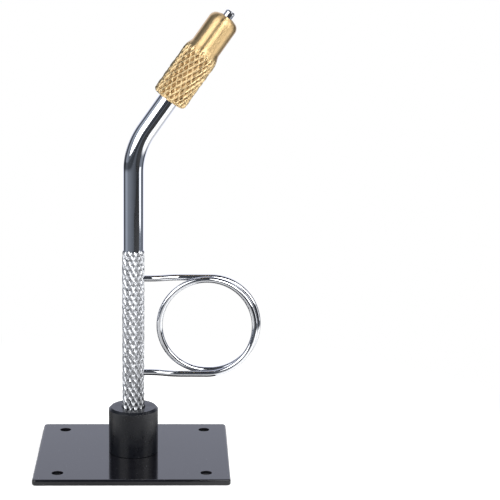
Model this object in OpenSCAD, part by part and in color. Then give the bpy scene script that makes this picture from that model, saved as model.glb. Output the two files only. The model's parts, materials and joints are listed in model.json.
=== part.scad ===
// Fly tying vise: a bent steel stem with a knurled grip and a wire finger ring stands in a
// round socket on a flat base plate. A knurled brass sleeve screws along the stem's upper end
// and pushes a split collet back into the stem's mouth, which shuts the two jaws on a hook.
// The origin is on the plate's underside, on the stem's axis, and the head leans towards +X.

/* [Base plate] */
// Width of the plate, left to right
plate_w = 77.5; // [60:0.5:120]
// Depth of the plate, front to back
plate_d = 70; // [50:1:120]
// Thickness of the plate
plate_t = 2.5; // [2:0.1:6]
// Radius of the plate's corners
plate_corner_r = 1.5; // [1:0.5:6]
// Radius of the rounding along the plate's upper and lower edges
plate_edge_r = 0.8; // [0.3:0.1:0.9]
// Diameter of the four corner holes
mount_hole_d = 4.5; // [3:0.5:6]
// Distance from a corner hole's centre to the plate's left or right edge
hole_inset_x = 9.5; // [6:0.25:14]
// Distance from a corner hole's centre to the plate's front or back edge
hole_inset_y = 8.25; // [6:0.25:12]

/* [Post socket] */
// Outer diameter of the socket
socket_d = 20; // [16:0.5:30]
// Height of the socket
socket_h = 18.9; // [16:0.1:30]
// Depth of the stem's seat in the socket
seat_depth = 12.8; // [8:0.2:14]
// Bevel round the socket's top edge
socket_bevel = 0.9; // [0.3:0.1:1.5]

/* [Base screw] */
// Diameter of the screw's shank
screw_d = 4; // [3:0.5:5]
// Diameter of the countersunk head
screw_head_d = 7.6; // [6.5:0.1:8]
// How far the shank reaches into the socket
screw_reach = 5.2; // [3:0.1:5.5]
// Width of the screw's hexagon socket, across flats
screw_hex = 2.5; // [1.5:0.1:2.6]

/* [Stem] */
// Diameter of the smooth rod
rod_d = 8; // [7.6:0.1:8.4]
// Diameter over the crests of the knurled grip
grip_d = 9; // [8.8:0.1:9.6]
// Length of grip above the socket
grip_len = 65.4; // [62:0.1:90]
// Straight smooth neck between the grip and the bend
neck_len = 31.3; // [10:0.1:60]
// Radius of the bend, on the rod's centre line
bend_r = 29.1; // [16:0.5:60]
// Lean of the head from upright, in degrees
head_tilt = 35; // [15:1:60]
// Bare rod between the bend and the brass sleeve
arm_len = 15; // [4:0.2:40]

/* [Knurling] */
// Distance between neighbouring grooves, round the piece
knurl_pitch = 2.3; // [2:0.1:3.2]
// Angle of the grooves from the piece's axis, in degrees
knurl_angle = 30; // [25:1:40]
// Depth of the grooves on the grip
grip_knurl_depth = 0.65; // [0.4:0.05:0.8]
// Depth of the grooves on the sleeve
sleeve_knurl_depth = 0.6; // [0.4:0.05:0.8]

/* [Finger ring] */
// Diameter of the ring's wire
wire_d = 2.5; // [2:0.1:2.8]
// Height of the upper arm above the socket's top
ring_arm_h = 53.4; // [48:0.1:56]
// Distance from the stem's axis to the ring's centre
ring_x = 29.5; // [28:0.1:40]
// Radius of the first half turn, at the back
ring_back_r = 19.1; // [17:0.1:20]
// Radius of the second half turn, next to the stem
ring_r = 19; // [17:0.1:20]
// Radius of the last half turn, at the front
ring_front_r = 19.4; // [17:0.1:20]
// How much further out the first half turn starts
ring_lead = 1.5; // [0:0.1:4]
// Step from the back to the front in each half turn
ring_step = 1.5; // [1.5:0.05:2]

/* [Clamp sleeve] */
// Diameter over the crests of the sleeve's knurling
sleeve_d = 14.6; // [14:0.1:18]
// Length of the knurled part
sleeve_knurl_len = 20.7; // [16:0.5:30]
// Bevel at the sleeve's rear edge
sleeve_bevel = 0.9; // [0.4:0.1:1.5]
// Diameter of the smooth nose
nose_d = 12.2; // [11.6:0.1:13]
// Length of the smooth cone between the knurling and the nose
sleeve_cone_len = 3.1; // [1:0.1:6]
// Length of the nose's straight part
nose_len = 11.2; // [10:0.1:20]
// Height of the domed front end
dome_h = 3.4; // [2:0.1:5]
// Radius of the dome's outer corner
dome_corner_r = 3.0; // [0.8:0.1:3.2]

/* [Collet] */
// Diameter of the jaws' tip
tip_d = 3.9; // [3.2:0.1:4.2]
// How far the jaws stand out of the sleeve
tip_out = 2.6; // [1.5:0.1:4]
// Diameter of the collet's unsplit root
collet_root_d = 4.2; // [3.8:0.05:4.4]
// Length of the unsplit root
collet_root_len = 5.4; // [3:0.1:8]
// Diameter of the jaws' thin legs
leg_d = 3.8; // [3.4:0.05:3.85]
// Diameter of the bore through the root and the legs
collet_bore_d = 1.6; // [1:0.1:1.8]
// Length of the legs, which bend when the jaws open
leg_len = 7.6; // [6:0.2:9]
// Diameter of the collet's head
collet_head_d = 6.6; // [5.8:0.1:6.8]
// Length of the head between its cone and its front shoulder
collet_head_len = 5.5; // [3:0.1:7]
// Half angle of the closing cone, in degrees
cone_angle = 15; // [12:1:20]
// Width of the slot between the jaws at rest
jaw_slot = 0.3; // [0.2:0.05:0.5]
// Distance between the ridges round the tip
ridge_pitch = 0.44; // [0.3:0.02:0.6]
// Depth of the grooves between the ridges
ridge_depth = 0.12; // [0.05:0.01:0.2]
// Bevel at the tip's end
tip_bevel = 0.5; // [0.2:0.05:0.8]

/* [Hidden] */
$fn = 64;

// Overrun of every cut, and the overlap of solids that grow together
cut = 1;
grow = 0.3;
// Gap under a piece that is seated, and radial gap of a running fit
seat_gap = 0.05;
run_gap = 0.08;
// Radial gap of the stem in its socket, of the ring's wire in its holes and of the screw
socket_gap = 0.1;
wire_gap = 0.05;
screw_gap = 0.05;
// Radial gap round the jaws where they leave the sleeve, and between root and jaws
tip_gap = 0.45;
hinge_gap = 0.1;
// Gap between the collet's cone and the stem's mouth, square to the cone
cone_gap = 0.06;
// Depth of the screw head below the plate's underside, and of its hexagon socket
head_sink = 0.1;
hex_depth = 1.2;
// Bevels at the stem's foot, at its upper end and at the socket's mouth
foot_bevel = 0.8;
mouth_bevel = 0.5;
seat_bevel = 0.4;
// How far the knurling carries on below the socket's top
knurl_sink = 3;
// The bend is this much thicker than the straight rod, so that it takes in the rod's ends
bend_swell = 0.04;
// Step from the knurling's end rings to the smooth metal beside them
end_step = 0.12;
sleeve_end_step = 0.1;
// Share of a diamond's width that is its flat top
flat_share = 0.36;
// How deep the ring's wire is set below the grip's crests, and the gap at its ends
wire_set = 3;
wire_end_gap = 0.2;
// Radius of the arms' sideways bends, and the straight stretch outside the grip
arm_bend_r = 20;
arm_straight = 1.5;
// How far the stem's end stands into the sleeve, and the room behind the collet
stem_in_sleeve = 30;
collet_room = 0.3;
// Slope of the domed front face from square, and the facets of its rounded corner
dome_slope = 20;
dome_steps = 7;
// Wall between the ridged tip's last groove and the sleeve's face
ridge_margin = 0.3;
// Sides of the ring's wire, rings of points in each half turn and in each bend of an arm
wire_sides = 12;
turn_rings = 14;
arm_rings = 3;
// Samples on each stretch of wire when the gap between its turns is measured
wire_samples = 4;

rod_r = rod_d / 2;
grip_r = grip_d / 2;
wire_r = wire_d / 2;
plate_top = plate_t;
hole_span_x = plate_w - 2 * hole_inset_x;
hole_span_y = plate_d - 2 * hole_inset_y;
socket_foot = plate_top + seat_gap;
socket_top = socket_foot + socket_h;
seat_r = grip_r + socket_gap;
seat_floor = socket_top - seat_depth;
stem_foot = seat_floor + seat_gap;
knurl_foot = socket_top - knurl_sink;
grip_top = socket_top + grip_len;
bend_z = grip_top + neck_len;

// Upper end of the bend, where the head's own axis starts
head_x = bend_r * (1 - cos(head_tilt));
head_z = bend_z + bend_r * sin(head_tilt);
stem_end = arm_len + stem_in_sleeve;

// Sleeve, measured along the head from its rear face
sleeve_r = sleeve_d / 2;
nose_r = nose_d / 2;
sleeve_bore_r = rod_r + run_gap;
sleeve_end_r = sleeve_r - sleeve_knurl_depth + sleeve_end_step;
knurl_start = sleeve_bevel;
knurl_end = knurl_start + sleeve_knurl_len;
nose_start = knurl_end + sleeve_cone_len;
nose_end = nose_start + nose_len;
sleeve_len = nose_end + dome_h;
tip_r = tip_d / 2;
front_hole_r = tip_r + tip_gap;

// Collet, also measured from the sleeve's rear face
collet_root_r = collet_root_d / 2;
collet_head_r = collet_head_d / 2;
leg_r = leg_d / 2;
stem_bore_r = collet_root_r + run_gap;
cone_len = (collet_head_r - leg_r) / tan(cone_angle);
cone_end = stem_in_sleeve + seat_gap;
cone_start = cone_end - cone_len;
shoulder = cone_end + collet_head_len;
tip_end = sleeve_len + tip_out;
cavity_end = shoulder + hinge_gap;
mouth_r = collet_head_r + cone_gap / cos(cone_angle);
mouth_cone_len = (mouth_r - stem_bore_r) / tan(cone_angle);
leg_start = cone_start - leg_len;
root_start = leg_start - hinge_gap - collet_root_len;

// Wire ring: heights of the four places where its half turns meet
ring_top_back = socket_top + ring_arm_h;
ring_low_back = ring_top_back - 2 * ring_back_r;
ring_top_front = ring_low_back + 2 * ring_r;
ring_low_front = ring_top_front - 2 * ring_front_r;
arm_y = ring_step * 3 / 2;
arm_turn = acos(1 - arm_y / (2 * arm_bend_r));
arm_bends = 2 * arm_bend_r * sin(arm_turn);
wire_end_x = grip_r - wire_set;
bend_from = grip_r + arm_straight;
bend_to = bend_from + arm_bends;

// An arm leaves the grip square to it, then bends aside and straight again, to side 1 at
// the back or side -1 at the front
function arm(side, z, reach) = concat(
    [[wire_end_x, 0, z]],
    [
        for (k = [0 : arm_rings]) let (a = arm_turn * k / arm_rings)
            [bend_from + arm_bend_r * sin(a), side * arm_bend_r * (1 - cos(a)), z]
    ],
    [
        for (k = [1 : arm_rings]) let (a = arm_turn * (1 - k / arm_rings))
            [bend_to - arm_bend_r * sin(a), side * (arm_y - arm_bend_r * (1 - cos(a))), z]
    ],
    [[reach, side * arm_y, z]]
);
// A half turn between two heights, whose depth eases from one end to the other
function half_turn(x, side, from, to) = [
    for (k = [1 : turn_rings]) let (a = 180 * k / turn_rings, mid = (from + to) / 2)
        [
            x + side * abs(to.y - from.y) / 2 * sin(a),
            mid.x - cos(a) * (to.x - from.x) / 2,
            mid.y - cos(a) * (to.y - from.y) / 2,
        ]
];
function reversed(points) = [for (i = [len(points) - 1 : -1 : 0]) points[i]];
function wire_path() = concat(
    arm(1, ring_top_back, ring_x + ring_lead),
    half_turn(ring_x + ring_lead, 1, [arm_y, ring_top_back], [ring_step / 2, ring_low_back]),
    [[ring_x, ring_step / 2, ring_low_back]],
    half_turn(ring_x, -1, [ring_step / 2, ring_low_back], [-ring_step / 2, ring_top_front]),
    half_turn(ring_x, 1, [-ring_step / 2, ring_top_front], [-arm_y, ring_low_front]),
    reversed(arm(-1, ring_low_front, ring_x - wire_r))
);

// Least gap between two stretches of the wire, measured on points along it
function in_between(path) = [
    for (i = [0 : len(path) - 2]) for (k = [0 : wire_samples - 1])
        path[i] + (path[i + 1] - path[i]) * k / wire_samples
];
function least_gap(points) = min([
    for (i = [0 : len(points) - 1]) for (j = [i + 1 : 1 : len(points) - 1])
        if (j - i > turn_rings * wire_samples) norm(points[i] - points[j]) - wire_d
]);
echo(least_gap_between_turns = least_gap(in_between(wire_path())));

// Moves to the head's axis: +Z then runs from the bend's end towards the jaws
module on_head(along = 0) {
    translate([head_x, 0, head_z]) rotate([0, head_tilt, 0]) translate([0, 0, along]) children();
}

// Diamond knurling as one closed solid. Two sets of crossed grooves leave flat-topped
// diamonds; each row of diamonds is half a step round from the row below.
function knurl_starts(d) = round(PI * d / knurl_pitch);
function knurl_rows(d, length) =
    max(3, round(length / (PI * d / knurl_starts(d) / tan(knurl_angle) / 2)));

module diamond_knurl(d, depth, end_r, length) {
    starts = knurl_starts(d);
    rows = knurl_rows(d, length);
    row_h = length / rows;
    turn = 360 / starts;
    crest_r = d / 2;
    valley_r = crest_r - depth;
    at = function(u, v, r) [r * cos(u * turn), r * sin(u * turn), v * row_h];
    // Half-step shift of row j, and wrapping round the circle
    shift = function(j) (j % 2) / 2;
    wrap = function(i) (i + starts) % starts;

    // Groove crossings: one ring of them for each row between the two ends
    crossings = [
        for (j = [1 : rows - 1]) for (i = [0 : starts - 1]) at(i + shift(j), j, valley_r)
    ];
    // End rings have twice as many points, to follow the round metal beside them
    rim_low = [for (i = [0 : 2 * starts - 1]) at(i / 2, 0, end_r)];
    rim_high = [for (i = [0 : 2 * starts - 1]) at(i / 2, rows, end_r)];
    // Four corners of each diamond's flat top: below, right, above, left
    tops = [
        for (j = [1 : rows - 1]) for (i = [0 : starts - 1]) let (u = i + 1 / 2 + shift(j))
            each [
                at(u, j - flat_share, crest_r),
                at(u + flat_share / 2, j, crest_r),
                at(u, j + flat_share, crest_r),
                at(u - flat_share / 2, j, crest_r),
            ]
    ];
    first_rim_high = len(crossings) + len(rim_low);
    first_top = first_rim_high + len(rim_high);
    low_middle = first_top + len(tops);

    crossing = function(i, j)
        j == 0 ? len(crossings) + 2 * wrap(i)
        : j == rows ? first_rim_high + (2 * wrap(i) + (rows % 2)) % (2 * starts)
        : (j - 1) * starts + wrap(i);
    top_of = function(i, j) first_top + 4 * ((j - 1) * starts + i);
    // A diamond stands over the crossing below it, which is one place on in odd rows
    diamonds = [
        for (j = [1 : rows - 1]) for (i = [0 : starts - 1])
            let (
                c = [
                    crossing(i + j % 2, j - 1),
                    crossing(i + 1, j),
                    crossing(i + j % 2, j + 1),
                    crossing(i, j),
                ],
                t = top_of(i, j)
            )
            each concat(
                [[t, t + 2, t + 1], [t, t + 3, t + 2]],
                [
                    for (k = [0 : 3]) let (n = (k + 1) % 4)
                        each [[c[k], t + k, c[n]], [t + k, t + n, c[n]]]
                ]
            )
    ];
    // Flat triangles between the rims and the outermost crossings
    low_edge = [
        for (i = [0 : starts - 1])
            let (a = len(crossings) + 2 * i, b = a + 1, e = len(crossings) + 2 * wrap(i + 1))
            each [[a, crossing(i, 1), b], [b, crossing(i, 1), e]]
    ];
    high_edge = [
        for (i = [0 : starts - 1])
            let (
                s = rows % 2,
                a = first_rim_high + (2 * i + s) % (2 * starts),
                b = first_rim_high + (2 * i + 1 + s) % (2 * starts),
                e = first_rim_high + (2 * i + 2 + s) % (2 * starts),
                p = crossing(i + s, rows - 1)
            )
            each [[a, b, p], [b, e, p]]
    ];
    caps = [
        for (i = [0 : 2 * starts - 1]) let (n = (i + 1) % (2 * starts))
            each [
                [low_middle, len(crossings) + i, len(crossings) + n],
                [low_middle + 1, first_rim_high + n, first_rim_high + i],
            ]
    ];
    polyhedron(
        points = concat(crossings, rim_low, rim_high, tops, [[0, 0, 0], [0, 0, length]]),
        faces = concat(diamonds, low_edge, high_edge, caps),
        convexity = 4
    );
}

// Flat bar along Y, with all four long edges rounded
module rounded_bar(width, length) {
    flat_w = width - 2 * plate_edge_r;
    flat_t = plate_t - 2 * plate_edge_r;
    translate([-flat_w / 2, -length / 2, 0]) cube([flat_w, length, plate_t]);
    translate([-width / 2, -length / 2, plate_edge_r]) cube([width, length, flat_t]);
    for (x = [-1, 1]) for (z = [plate_edge_r, plate_t - plate_edge_r])
        translate([x * flat_w / 2, length / 2, z])
            rotate([90, 0, 0]) cylinder(r = plate_edge_r, h = length);
}

// Square-edged plate with rounded corners
module plate_blank() {
    for (side = [0, 1])
        translate([
            -plate_w / 2 + side * plate_corner_r,
            -plate_d / 2 + (1 - side) * plate_corner_r,
            0,
        ])
            cube([
                plate_w - 2 * side * plate_corner_r,
                plate_d - 2 * (1 - side) * plate_corner_r,
                plate_t,
            ]);
    for (x = [-1, 1]) for (y = [-1, 1])
        translate([
            x * (plate_w / 2 - plate_corner_r),
            y * (plate_d / 2 - plate_corner_r),
            0,
        ])
            cylinder(r = plate_corner_r, h = plate_t);
}

module base_plate() {
    color([0.12, 0.12, 0.13]) difference() {
        intersection() {
            plate_blank();
            rounded_bar(plate_w, plate_d);
            rotate([0, 0, 90]) rounded_bar(plate_d, plate_w);
        }
        for (x = [-1, 1]) for (y = [-1, 1])
            translate([x * hole_span_x / 2, y * hole_span_y / 2, -cut])
                cylinder(d = mount_hole_d, h = plate_t + 2 * cut);
        screw_space();
    }
}

// Countersunk hole for the base screw, with its clearance
module screw_space() {
    head_r = screw_head_d / 2 + screw_gap;
    shank_r = screw_d / 2 + screw_gap;
    translate([0, 0, -cut]) cylinder(r = shank_r, h = plate_t + 2 * cut);
    translate([0, 0, -cut]) cylinder(r = head_r, h = cut + head_sink);
    translate([0, 0, head_sink]) cylinder(r1 = head_r, r2 = shank_r, h = head_r - shank_r);
}

module base_screw() {
    head_h = (screw_head_d - screw_d) / 2;
    color([0.3, 0.3, 0.32]) difference() {
        translate([0, 0, head_sink + screw_gap / 2]) union() {
            cylinder(d1 = screw_head_d, d2 = screw_d, h = head_h);
            cylinder(d = screw_d, h = plate_top + screw_reach - head_sink);
        }
        translate([0, 0, -cut])
            cylinder(d = screw_hex / cos(30), h = cut + head_sink + hex_depth, $fn = 6);
    }
}

module post_socket() {
    r = socket_d / 2;
    screw_hole_r = screw_d / 2 + screw_gap;
    screw_hole_h = screw_reach + 2 * screw_gap;
    color([0.08, 0.08, 0.1]) rotate_extrude()
        polygon([
            [0, socket_foot + screw_hole_h],
            [screw_hole_r, socket_foot + screw_hole_h],
            [screw_hole_r, socket_foot],
            [r, socket_foot],
            [r, socket_top - socket_bevel],
            [r - socket_bevel, socket_top],
            [seat_r + seat_bevel, socket_top],
            [seat_r, socket_top - seat_bevel],
            [seat_r, seat_floor],
            [0, seat_floor],
        ]);
}

module stem() {
    color([0.8, 0.8, 0.83]) difference() {
        union() {
            // Plain foot in the socket
            rotate_extrude()
                polygon([
                    [0, stem_foot],
                    [grip_r - foot_bevel, stem_foot],
                    [grip_r, stem_foot + foot_bevel],
                    [grip_r, knurl_foot - foot_bevel],
                    [rod_r, knurl_foot],
                    [rod_r, knurl_foot + grow],
                    [0, knurl_foot + grow],
                ]);
            translate([0, 0, knurl_foot])
                diamond_knurl(grip_d, grip_knurl_depth, rod_r + end_step, grip_top - knurl_foot);
            translate([0, 0, grip_top - grow]) cylinder(r = rod_r, h = neck_len + 2 * grow);
            translate([bend_r, 0, bend_z]) rotate([90, 0, 0]) rotate([0, 0, 180 - head_tilt])
                rotate_extrude(angle = head_tilt)
                    translate([bend_r, 0]) circle(r = rod_r + bend_swell);
            on_head() rotate_extrude()
                polygon([
                    [0, -grow],
                    [rod_r, -grow],
                    [rod_r, stem_end - mouth_bevel],
                    [rod_r - mouth_bevel, stem_end],
                    [0, stem_end],
                ]);
        }
        for (z = [ring_top_back, ring_low_front])
            translate([wire_end_x - wire_end_gap, 0, z]) rotate([0, 90, 0])
                cylinder(r = wire_r + wire_gap, h = grip_r + cut);
        collet_space();
    }
}

// Bore and closing cone in the stem's upper end
module collet_space() {
    on_head(arm_len) {
        translate([0, 0, root_start - collet_room])
            cylinder(r = stem_bore_r, h = stem_in_sleeve - root_start + collet_room + cut);
        translate([0, 0, stem_in_sleeve - mouth_cone_len])
            cylinder(
                r1 = stem_bore_r,
                r2 = mouth_r + cut * tan(cone_angle),
                h = mouth_cone_len + cut
            );
    }
}

// One unbroken tube swept along the wire's points, with closed ends
module finger_ring() {
    path = wire_path();
    last = len(path) - 1;
    along = [
        for (i = [0 : last])
            let (step = path[min(i + 1, last)] - path[max(i - 1, 0)])
            step / norm(step)
    ];
    color([0.82, 0.82, 0.85]) polyhedron(
        points = [
            for (i = [0 : last])
                let (
                    flat = cross(along[i], [0, 1, 0]),
                    out = flat / norm(flat),
                    side = cross(out, along[i])
                )
                for (k = [0 : wire_sides - 1]) let (a = 360 * k / wire_sides)
                    path[i] + wire_r * (cos(a) * out + sin(a) * side)
        ],
        faces = concat(
            [[for (k = [0 : wire_sides - 1]) wire_sides - 1 - k]],
            [
                for (i = [0 : last - 1]) for (k = [0 : wire_sides - 1])
                    let (
                        a = i * wire_sides + k,
                        b = i * wire_sides + (k + 1) % wire_sides,
                        c = b + wire_sides,
                        d = a + wire_sides
                    )
                    each [[a, b, c], [a, c, d]]
            ],
            [[for (k = [0 : wire_sides - 1]) last * wire_sides + k]]
        ),
        convexity = 6
    );
}

// Outline of the domed front: a sloping face with a rounded outer corner
function dome_outline() = concat(
    [
        for (k = [0 : dome_steps]) let (a = (90 - dome_slope) * k / dome_steps)
            [
                nose_r - dome_corner_r * (1 - cos(a)),
                sleeve_len - dome_h + dome_corner_r * sin(a),
            ]
    ],
    [[front_hole_r + tip_gap, sleeve_len - seat_gap], [front_hole_r, sleeve_len]]
);

module clamp_sleeve() {
    core_r = sleeve_end_r - sleeve_knurl_depth;
    collar_r = sleeve_end_r - sleeve_end_step;
    color([0.85, 0.68, 0.36]) on_head(arm_len) difference() {
        union() {
            rotate_extrude()
                polygon(concat(
                    [
                        [0, 0],
                        [collar_r - sleeve_bevel, 0],
                        [collar_r, sleeve_bevel],
                        [collar_r, knurl_start + grow],
                        [core_r, knurl_start + grow],
                        [core_r, knurl_end - grow],
                        [collar_r, knurl_end - grow],
                        [collar_r, knurl_end],
                        [nose_r, nose_start],
                    ],
                    dome_outline(),
                    [[0, sleeve_len]]
                ));
            translate([0, 0, knurl_start])
                diamond_knurl(sleeve_d, sleeve_knurl_depth, sleeve_end_r, sleeve_knurl_len);
        }
        translate([0, 0, -cut]) cylinder(r = sleeve_bore_r, h = cavity_end + cut);
        cylinder(r = front_hole_r, h = sleeve_len + cut);
        translate([0, 0, -cut])
            cylinder(
                r1 = sleeve_bore_r + mouth_bevel + cut,
                r2 = sleeve_bore_r,
                h = mouth_bevel + cut
            );
    }
}

module collet_root() {
    color([0.7, 0.7, 0.72]) on_head(arm_len + root_start) difference() {
        cylinder(r = collet_root_r, h = collet_root_len);
        translate([0, 0, -cut]) cylinder(d = collet_bore_d, h = collet_root_len + 2 * cut);
    }
}

// One jaw: half of the split collet, with its leg, closing cone, head and ridged tip
module jaw(side) {
    ridges_start = sleeve_len - dome_h / 2;
    ridges_end = tip_end - tip_bevel - ridge_margin;
    count = floor((ridges_end - ridges_start) / ridge_pitch);
    on_head(arm_len) difference() {
        rotate_extrude()
            polygon(concat(
                [
                    [0, leg_start],
                    [leg_r, leg_start],
                    [leg_r, cone_start],
                    [collet_head_r, cone_end],
                    [collet_head_r, shoulder],
                    [tip_r, shoulder],
                ],
                [
                    for (k = [0 : count - 1])
                        let (z = ridges_end - (count - k) * ridge_pitch)
                        each [[tip_r, z], [tip_r - ridge_depth, z + ridge_pitch / 2]]
                ],
                [
                    [tip_r, ridges_end],
                    [tip_r, tip_end - tip_bevel],
                    [tip_r - tip_bevel, tip_end],
                    [0, tip_end],
                ]
            ));
        translate([-sleeve_r, side > 0 ? -sleeve_d + jaw_slot / 2 : -jaw_slot / 2, 0])
            cube([sleeve_d, sleeve_d, tip_end + cut]);
        translate([0, 0, leg_start - cut])
            cylinder(d = collet_bore_d, h = shoulder - leg_start + cut);
    }
}

module jaw_front() { color([0.75, 0.75, 0.78]) jaw(-1); }
module jaw_back() { color([0.75, 0.75, 0.78]) jaw(1); }

base_plate();
base_screw();
post_socket();
stem();
finger_ring();
clamp_sleeve();
collet_root();
jaw_front();
jaw_back();
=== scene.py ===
import json
import math

import bmesh
import bpy
from mathutils import Matrix, Vector


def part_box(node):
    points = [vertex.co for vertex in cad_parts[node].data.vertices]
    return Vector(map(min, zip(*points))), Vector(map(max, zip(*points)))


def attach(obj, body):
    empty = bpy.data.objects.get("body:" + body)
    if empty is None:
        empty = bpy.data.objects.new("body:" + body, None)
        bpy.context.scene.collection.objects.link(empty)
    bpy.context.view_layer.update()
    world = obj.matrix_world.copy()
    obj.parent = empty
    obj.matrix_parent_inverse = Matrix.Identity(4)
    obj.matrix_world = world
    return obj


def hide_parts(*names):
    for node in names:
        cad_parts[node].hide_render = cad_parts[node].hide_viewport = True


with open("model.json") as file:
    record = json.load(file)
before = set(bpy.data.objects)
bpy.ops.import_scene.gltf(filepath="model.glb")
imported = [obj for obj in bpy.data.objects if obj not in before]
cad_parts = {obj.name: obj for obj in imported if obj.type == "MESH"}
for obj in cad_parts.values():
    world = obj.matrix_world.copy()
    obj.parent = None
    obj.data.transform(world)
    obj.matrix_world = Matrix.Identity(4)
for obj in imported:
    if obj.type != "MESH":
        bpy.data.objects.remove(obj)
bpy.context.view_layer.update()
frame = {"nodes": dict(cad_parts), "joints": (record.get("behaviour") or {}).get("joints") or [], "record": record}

MM = 0.001

# Camera: a long lens in front of the object, a little above it, at the photograph's angle.
# Lens, place and turn come from fitting the plate's corners, its holes and the stem.
CAMERA_PLACE = (14.946, -670.008, 235.257)
CAMERA_YAW, CAMERA_PITCH, CAMERA_ROLL = 0.0471, 0.2179, 0.0148
LENS, SENSOR = 123.69, 36.0

camera_data = bpy.data.cameras.new("camera")
camera_data.lens = LENS
camera_data.sensor_width = SENSOR
camera_data.clip_start = 0.01
camera = bpy.data.objects.new("camera", camera_data)
bpy.context.scene.collection.objects.link(camera)
forward = Vector((
    math.sin(CAMERA_YAW) * math.cos(CAMERA_PITCH),
    math.cos(CAMERA_YAW) * math.cos(CAMERA_PITCH),
    -math.sin(CAMERA_PITCH),
))
level = Vector((math.cos(CAMERA_YAW), -math.sin(CAMERA_YAW), 0))
rolled = Matrix.Rotation(-CAMERA_ROLL, 3, forward)
turn = Matrix((rolled @ level, rolled @ level.cross(forward), -forward)).transposed()
camera.matrix_world = Matrix.Translation(Vector(CAMERA_PLACE) * MM) @ turn.to_4x4()
bpy.context.scene.camera = camera
bpy.context.scene.view_settings.view_transform = "Standard"


# Studio: a white sheet on a table, a white wall behind, softboxes at the front, at the right
# and overhead, and a dim room on the camera's side. The polished metal shows all of it but the
# overhead ones, so each has its own place.
def linear(colour):
    """The linear RGBA of an sRGB hex colour."""
    parts = [int(colour[i:i + 2], 16) / 255 for i in (1, 3, 5)]
    return (*[c / 12.92 if c < 0.04045 else ((c + 0.055) / 1.055) ** 2.4 for c in parts], 1)


def feed(tree, node, inputs):
    """Gives a node its inputs. Each is a value or another node's output."""
    for name, value in inputs.items():
        if isinstance(value, bpy.types.NodeSocket):
            tree.links.new(value, node.inputs[name])
        else:
            node.inputs[name].default_value = value


def add(tree, kind, inputs=None, **settings):
    """Adds a node with its settings and links, and gives its outputs."""
    made = tree.nodes.new(kind)
    for name, value in settings.items():
        setattr(made, name, value)
    feed(tree, made, inputs or {})
    return made.outputs


def node_group(name, kind, gives, takes):
    """An empty group of nodes, with the type of each of its outputs and inputs."""
    made = bpy.data.node_groups.new(name, kind)
    for way, sockets in (("OUTPUT", gives), ("INPUT", takes)):
        for socket, data in sockets.items():
            made.interface.new_socket(socket, in_out=way, socket_type="NodeSocket" + data)
    return made


def softbox(name, aim, azimuth, elevation, distance, size, radiance):
    """An area lamp turned to aim. Azimuth 0 is the camera's side and 90 the object's right."""
    a, e = math.radians(azimuth), math.radians(elevation)
    way = Vector((math.sin(a) * math.cos(e), -math.cos(a) * math.cos(e), math.sin(e)))
    lamp = bpy.data.lights.new(name, "AREA")
    lamp.shape = "RECTANGLE"
    lamp.size, lamp.size_y = size[0] * MM, size[1] * MM
    lamp.energy = radiance * math.pi * lamp.size * lamp.size_y
    holder = bpy.data.objects.new(name, lamp)
    bpy.context.scene.collection.objects.link(holder)
    holder.matrix_world = (
        Matrix.Translation((Vector(aim) + way * distance) * MM)
        @ way.to_track_quat("Z", "Y").to_matrix().to_4x4()
    )
    return holder


HEAD_AIM, HEAD_DISTANCE = (14, 0, 140), 600
for name, azimuth, elevation, size, radiance in (
    ("front_left_softbox", -46, 24, (480, 510), 3.3),
    ("front_right_softbox", 30, 27, (430, 240), 8),
    ("side_softbox", 62, 14, (260, 200), 5),
):
    softbox(name, HEAD_AIM, azimuth, elevation, HEAD_DISTANCE, size, radiance)
softbox("right_softbox", (0, -51, 302), 90, 0, 430, (178, 595), 1.2)
for name, azimuth in (("overhead_left_softbox", -88), ("overhead_right_softbox", 88)):
    softbox(name, (0, 0, 20), azimuth, 62, 800, (330, 260), 5).visible_glossy = False

# What the metal reflects each way round: grey on the left, paler where it is high, dark at the
# front right, white low down at the right, dim past both sides, and a white wall behind. The
# room and the far table show Far. The table near the object shows Near, and Share of its white.
LEFT_LEVEL, HIGH_LEFT_LEVEL, LEFT_EDGE, RIGHT_LEVEL, RIGHT_WHITE = 0.3, 0.55, 0.15, 0.085, 0.5
LEFT_DIM, RIGHT_NEAR_DIM = 0.3, 0.55
NEAR_FRONT, NEAR_RIGHT, FRONT_SHARE = 0.03, 0.35, 0.5
ROOM_TINT = "#E4EEFF"
WALL_WHITE, WALL_LEVEL = "#E8ECFF", 1.1
round_about = node_group("studio_round_about", "ShaderNodeTree",
                         {"Far": "Color", "Near": "Float", "Share": "Float"}, {"Way": "Vector"})
way = add(round_about, "NodeGroupInput")["Way"]
upright = add(round_about, "ShaderNodeVectorMath", {0: way}, operation="NORMALIZE")[0]
rise = add(round_about, "ShaderNodeSeparateXYZ", {0: upright})["Z"]
flat = add(round_about, "ShaderNodeVectorMath", {0: way, 1: (1, 1, 0)}, operation="MULTIPLY")[0]
flat = add(round_about, "ShaderNodeVectorMath", {0: flat}, operation="NORMALIZE")[0]
sides = add(round_about, "ShaderNodeSeparateXYZ", {0: flat})


def past_sides(right_dim):
    """What is left of the light past the object's left side, and of its right side."""
    side_dim = add(round_about, "ShaderNodeMapRange",
                   {0: sides["X"], 1: -0.1, 2: 0.1, 3: LEFT_DIM, 4: right_dim})[0]
    return add(round_about, "ShaderNodeMapRange",
               {0: sides["Y"], 1: 0.15, 2: 0.3, 3: 1.0, 4: side_dim})[0]


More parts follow.
